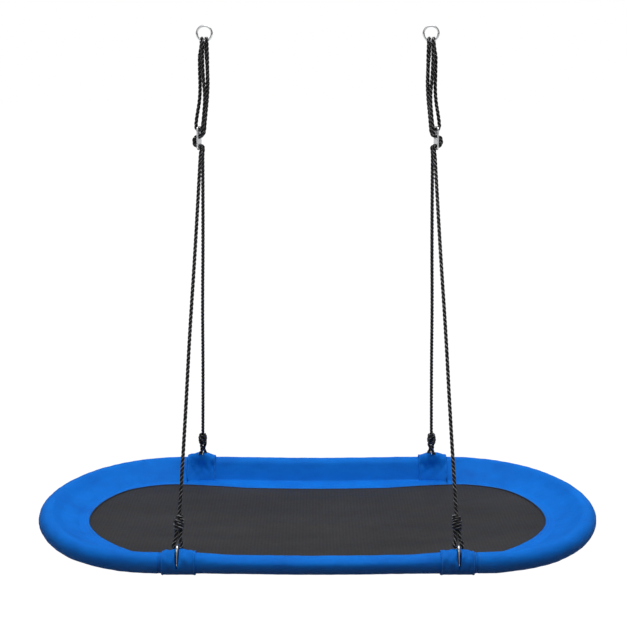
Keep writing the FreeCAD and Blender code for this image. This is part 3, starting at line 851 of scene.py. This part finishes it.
def make_mat():
    """The mat stretched inside the rim, its rings of points running inward to a middle line."""
    count, rows = 360, 46
    rim, rise = mat_outline(MAT_IN, count)
    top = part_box("seat_mat")[1].z
    facing = rim[(count // 2 - np.arange(count)) % count]
    middle = np.clip((rim[:, 0] + facing[:, 0]) * SPINE_SHARE, -SPINE_HALF, SPINE_HALF)
    spine = np.stack([middle, np.zeros(count)], axis=1)
    creases = Ripples(21, 0.9, 0.16, 7)
    small = Ripples(22, 0.24, 0.07, 9)
    upper = []
    for r in range(rows + 1):
        t = r / rows
        xy = rim + (spine - rim) * t
        depth = smooth(np.array([min(1.0, t * 1.25)]))[0]
        z = top - 0.0004 - MAT_DIP * depth + (sag_of(rim) + rise) * (1 - t)
        z = z + MAT_CREASE * between(t, 0.02, 0.25) * creases.at(xy[:, 0], xy[:, 1])
        z = z + MAT_RIPPLE * between(t, 0.02, 0.15) * small.at(xy[:, 0], xy[:, 1])
        upper.append(np.column_stack([xy, z]))
    points = np.concatenate(upper + [u - [0, 0, MAT_THICK] for u in upper])
    faces, n = [], count
    layer = (rows + 1) * n
    for r in range(rows):
        for quad in ring_quads(n, r, r + 1):
            faces += [quad, tuple(layer + q for q in reversed(quad))]
    for k in range(n):
        m = (k + 1) % n
        faces.append((m, k, layer + k, layer + m))
    made = mesh_object("seat_mat_woven", points, faces, points[:, :2], MAT_PAINT)
    bm = bmesh.new()
    bm.from_mesh(made.data)
    bmesh.ops.remove_doubles(bm, verts=bm.verts, dist=0.0002)
    bmesh.ops.recalc_face_normals(bm, faces=bm.faces)
    bm.to_mesh(made.data)
    bm.free()
    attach(made, "seat")
    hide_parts("seat_mat")
    return made


make_mat()


# the dark tape that paints the shadow at the mat's edge: half width and height on top, half width and
# depth below
TAPE_HALF, TAPE_HIGH, TAPE_HALF_LOW, TAPE_LOW = 0.0026, 0.0009, 0.0022, 0.0006


def make_shadow_gap_strip():
    """A dark tape showing as a thin line between the mat and the cover's strip: a painted shadow for the
    gap between them.
    """
    count = 420
    spread = np.linspace(-1, 1, 7)
    path, rise = mat_outline(FLANGE_IN + 0.0012, count)
    inner = mat_outline(FLANGE_IN + 0.0032, count)[0]
    across = inner - path
    across /= np.linalg.norm(across, axis=1)[:, None]
    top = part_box("seat_mat")[1].z + sag_of(path) + rise
    arch = [(d * TAPE_HALF, TAPE_HIGH * math.sqrt(max(0.0, 1 - d * d))) for d in spread]
    arch += [(d * TAPE_HALF_LOW, -TAPE_LOW) for d in spread[::-1]]
    rings = [np.column_stack([path + across * a, top + b]) for a, b in arch]
    points = np.concatenate(rings)
    faces, sides = [], len(arch)
    for r in range(sides):
        faces += ring_quads(count, r, (r + 1) % sides)
    s = np.arange(count) * 0.0085
    uv = np.concatenate([np.column_stack([s, np.full(count, 0.0008 * r)]) for r in range(sides)])
    made = mesh_object("seat_mat_painted_shadow_gap", points, faces, uv, SHADOW_GAP_PAINT)
    outward(made)
    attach(made, "seat")


make_shadow_gap_strip()


# ---- wraps over the hook points ------------------------------------------------------------------
WRAP_HALF, WRAP_R = 0.042, 0.0274
WRAP_SPANS = {-1: (0.0385, 0.0455), 1: (0.0465, 0.0385)}      # outer and inner hem from the hook
SLIT_HALF = 0.0052
SLIT_OUTER, SLIT_INNER = 1.78, {-1: 0.95, 1: 0.60}       # the slit's ends, as turns from straight up
SLIT_LOWEST = -0.012
TENT_WIDE = 0.62
TENT = {-1: (0.0004, 0.0070, 1.3), 1: (0.0036, 0.0215, 0.85)}    # rise at the hem, at the slit, fall
HEM_FROM, HEM_STITCH = 0.89, 0.93
HEM_THICK, CLOTH_LIFT, CLOTH_THICK = 0.0022, 0.0016, 0.0012
CRUMPLE = 0.0011


def wrap_section(crease):
    """Mid line of the wrap round the rim as (inward, up), for the cover's crease that far inward."""
    k = WRAP_R / RIM_R
    tip, down = crease * k, TIP_DOWN * k
    lean, half = math.atan2(-down, tip), math.acos(WRAP_R / math.hypot(tip, down))
    corner = np.array([tip, -down])
    up_end = WRAP_R * np.array([math.cos(lean + half), math.sin(lean + half)])
    low_end = WRAP_R * np.array([math.cos(lean - half), math.sin(lean - half)])
    face = corner + (up_end - corner) * np.linspace(0, 1, 17)[:, None]
    a = np.linspace(lean + half, lean - half + 2 * math.pi, 72)[1:-1]
    arc = WRAP_R * np.stack([np.cos(a), np.sin(a)], axis=1)
    under = low_end + (corner - low_end) * np.linspace(0, 1, 17)[:-1, None]
    return np.concatenate([face, arc, under])


def make_wrap(side, word, row, row_word, seed):
    """A cloth wrap over one hook point: tented over the hook, slit for it, hemmed at both sides."""
    section = wrap_section(TIP_IN)
    n = len(section)
    out = outline_normals(section)
    turn = np.arctan2(section[:, 0], section[:, 1])
    slit = np.sin(np.clip((turn + SLIT_OUTER) / (SLIT_OUTER + SLIT_INNER[row]), 0, 1) * math.pi)
    slit = SLIT_HALF * np.clip(slit, 0, 1) ** 0.5
    slit = np.where(section[:, 1] < SLIT_LOWEST, 0.0, slit)
    tent = np.exp(-((turn - LEAN_X) / TENT_WIDE) ** 2)
    across = run_of(section)
    half_cols = np.array([0, 0.10, 0.22, 0.36, 0.50, 0.64, 0.76, 0.86, 0.90, HEM_STITCH, 0.97, 1.0])
    ripple = Ripples(40 + seed, 0.030, 0.045)
    columns, uvs = [], []
    edge_high, centre_high, fall = TENT[row]
    for hand in (-1, 1):
        half = WRAP_SPANS[row][0 if hand * side > 0 else 1]
        for share in (half_cols[::-1] if hand < 0 else half_cols):
            a = hand * (slit + (half - slit) * share)
            crease = tip_of(np.array([[ATTACH_X + side * hand * half * share, 0.0]]))[0]
            shape = wrap_section(crease)
            peak = edge_high + (centre_high - edge_high) * np.clip(1 - np.abs(a) / half, 0, 1) ** fall
            hem = HEM_THICK if share > HEM_FROM else CLOTH_LIFT
            lift = tent * peak + hem
            lift = lift + CRUMPLE * ripple.at(a, across) * between(section[:, 1], -0.03, -0.01)
            ring = shape + out * lift[:, None]
            columns.append((share, a, ring))
            uvs.append(np.column_stack([a, across]))
    points = []
    for _, a, ring in columns:
        x = side * ATTACH_X + a
        y = row * (TUBE_Y - ring[:, 0])
        sag = sag_of(np.stack([x, y], axis=1))
        points.append(np.column_stack([x, y, RIM_Z + ring[:, 1] + sag]))
    cols, faces = len(columns), []
    middle = cols // 2 - 1
    for c in range(cols - 1):
        if c != middle:
            faces += ring_quads(n, c, c + 1)
    # front wraps take the darker copy of the cover cloth as painted shade, rear wraps the cover's own
    # paint
    made = mesh_object(f"wrap_{row_word}_{word}_sewn", np.concatenate(points), faces,
                       np.concatenate(uvs), FRONT_WRAP_SHADED_PAINT if row < 0 else COVER_PAINT)
    bm = bmesh.new()
    bm.from_mesh(made.data)
    bmesh.ops.remove_doubles(bm, verts=bm.verts, dist=0.0003)
    bmesh.ops.recalc_face_normals(bm, faces=bm.faces)
    bmesh.ops.solidify(bm, geom=bm.verts[:] + bm.edges[:] + bm.faces[:], thickness=CLOTH_THICK)
    bmesh.ops.recalc_face_normals(bm, faces=bm.faces)
    bm.to_mesh(made.data)
    bm.free()
    made.data.polygons.foreach_set("use_smooth", [True] * len(made.data.polygons))
    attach(made, "seat")
    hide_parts(f"wrap_{row_word}_{word}")
    outer = np.column_stack([np.zeros(n), -row * out[:, 0], out[:, 1]])
    hems = []
    for (share, *_), column in zip(columns, points):
        if share == HEM_STITCH:
            hems.append((column + outer * STITCH_HIGH, outer))
    stitches(f"wrap_thread_{row_word}_{word}", hems)
    return made


seed = 0
for side, word in ((-1, "left"), (1, "right")):
    for row, row_word in ((-1, "front"), (1, "rear")):
        make_wrap(side, word, row, row_word, seed)
        seed += 1


# ---- metal parts kept from CAD -------------------------------------------------------------------
for name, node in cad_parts.items():
    paint = None
    if name.startswith("ring_"):
        paint = RING_PAINT
    elif name.startswith("adjuster_plate"):
        paint = PLATE_PAINT
    elif name.startswith(("carabiner_", "gate_")):
        paint = HOOK_PAINT
    elif name.startswith("frame_"):
        paint = TUBE_PAINT
    if paint:
        node.data.materials.clear()
        node.data.materials.append(paint)


# ---- floor, backdrop and light -------------------------------------------------------------------
SKY, OVERHEAD, FRONT_FILL = 0.36, 100.0, 14.0


def stage_paint(name, glow, diffuse):
    """A plain white surface that glows by itself."""
    paint = Paint(name, (diffuse, diffuse, diffuse), 0.9)
    paint.set("Emission Color", (1.0, 1.0, 1.0, 1.0))
    paint.set("Emission Strength", glow)
    paint.set("Specular IOR Level", 0.0)
    return paint.material


def disc(name, radius, z, material, sides=96):
    """The floor, one flat round face."""
    a = np.arange(sides) * 2 * math.pi / sides
    points = [(radius * math.cos(t), radius * math.sin(t), z) for t in a]
    made = mesh_object(name, points, [tuple(range(sides))], None, material, flat=True)
    return made


floor = disc("floor", 60.0, -2.1, stage_paint("pale_floor", 1.0, 0.06))
floor.visible_diffuse = False
floor.visible_shadow = False


def dome(name, radius, material, rows=24, columns=48):
    """A white dome round the whole studio, from just under the floor to the top."""
    points, faces = [], []
    below = 0.08
    for r in range(rows):
        lift = -below + (math.pi / 2 + below) * r / rows
        out, up = radius * math.cos(lift), radius * math.sin(lift)
        for k in range(columns):
            turn = 2 * math.pi * k / columns
            points.append((out * math.cos(turn), out * math.sin(turn), up))
    points.append((0, 0, radius))
    for r in range(rows - 1):
        faces += ring_quads(columns, r, r + 1)
    last = (rows - 1) * columns
    for k in range(columns):
        faces.append((last + k, last + (k + 1) % columns, rows * columns))
    made = mesh_object(name, points, faces, None, material)
    return made


backdrop = dome("backdrop", 55.0, stage_paint("white_backdrop", 1.0, 0.0))
backdrop.visible_diffuse = False
backdrop.visible_shadow = False
backdrop.visible_glossy = False

bpy.context.scene.view_settings.view_transform = "Standard"
world = bpy.data.worlds.new("soft_studio")
world.use_nodes = True
bpy.context.scene.world = world
sky = world.node_tree.nodes["Background"]
height = world.node_tree.nodes.new("ShaderNodeSeparateXYZ")
where = world.node_tree.nodes.new("ShaderNodeTexCoord")
shade = world.node_tree.nodes.new("ShaderNodeValToRGB")
world.node_tree.links.new(where.outputs["Generated"], height.inputs[0])
world.node_tree.links.new(height.outputs[2], shade.inputs[0])
world.node_tree.links.new(shade.outputs[0], sky.inputs[0])
shade.color_ramp.elements[0].position, shade.color_ramp.elements[0].color = 0.0, (0.03, 0.03, 0.03, 1.0)
shade.color_ramp.elements[1].position, shade.color_ramp.elements[1].color = 0.45, (1.0, 1.0, 1.0, 1.0)
sky.inputs[1].default_value = SKY


def area_light(name, place, target, size, power):
    """A soft rectangular light pointed at a target."""
    light = bpy.data.lights.new(name, "AREA")
    light.shape = "RECTANGLE"
    light.size, light.size_y = size
    light.energy = power
    made = bpy.data.objects.new(name, light)
    made.location = place
    made.rotation_euler = (Vector(target) - Vector(place)).to_track_quat("-Z", "Y").to_euler()
    bpy.context.scene.collection.objects.link(made)


area_light("overhead", (0.2, 0.3, 2.4), (0, 0.1, -1.3), (3.0, 2.2), OVERHEAD)
area_light("front_fill", (-1.8, -3.4, 1.6), (0, 0, -1.0), (2.0, 2.0), FRONT_FILL)
